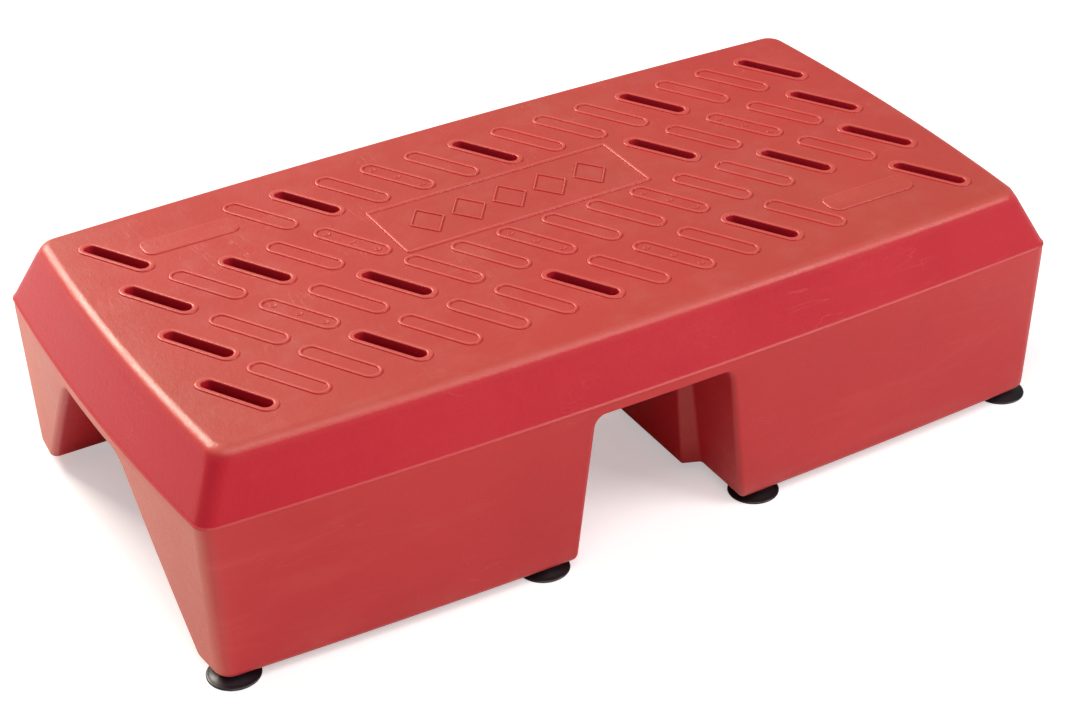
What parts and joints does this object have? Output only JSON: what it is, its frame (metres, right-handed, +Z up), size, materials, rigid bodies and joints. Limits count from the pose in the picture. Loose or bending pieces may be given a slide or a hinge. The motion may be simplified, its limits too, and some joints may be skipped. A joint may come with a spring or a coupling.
{
  "type": "mounting block step",
  "caption": "Low one-tier mounting step: a slotted tread moulding on a two-legged hollow base with suction-cup feet.",
  "frame": {"origin": "on the floor under the middle of the block", "axes": "+X along the length, +Y away from the near long side that is usually stepped on from, +Z up"},
  "size_m": [0.683, 0.3572, 0.176],
  "materials": {
    "deck_red_plastic": "satin moulded red",
    "leg_red_plastic": "satin moulded red",
    "cup_black_rubber": "smooth black rubber",
    "stud_steel": "turned stainless steel",
    "insert_brass": "turned brass"
  },
  "bodies": {
    "root": {"deck_shell": "deck_red_plastic", "leg_shell": "leg_red_plastic", "suction_cup_far_left_inner": "cup_black_rubber", "foot_stud_far_left_inner": "stud_steel", "threaded_insert_far_left_inner": "insert_brass", "suction_cup_far_left_outer": "cup_black_rubber", "foot_stud_far_left_outer": "stud_steel", "threaded_insert_far_left_outer": "insert_brass", "suction_cup_far_right_inner": "cup_black_rubber", "foot_stud_far_right_inner": "stud_steel", "threaded_insert_far_right_inner": "insert_brass", "suction_cup_far_right_outer": "cup_black_rubber", "foot_stud_far_right_outer": "stud_steel", "threaded_insert_far_right_outer": "insert_brass", "suction_cup_near_left_inner": "cup_black_rubber", "foot_stud_near_left_inner": "stud_steel", "threaded_insert_near_left_inner": "insert_brass", "suction_cup_near_left_outer": "cup_black_rubber", "foot_stud_near_left_outer": "stud_steel", "threaded_insert_near_left_outer": "insert_brass", "suction_cup_near_right_inner": "cup_black_rubber", "foot_stud_near_right_inner": "stud_steel", "threaded_insert_near_right_inner": "insert_brass", "suction_cup_near_right_outer": "cup_black_rubber", "foot_stud_near_right_outer": "stud_steel", "threaded_insert_near_right_outer": "insert_brass"}
  },
  "joints": []
}
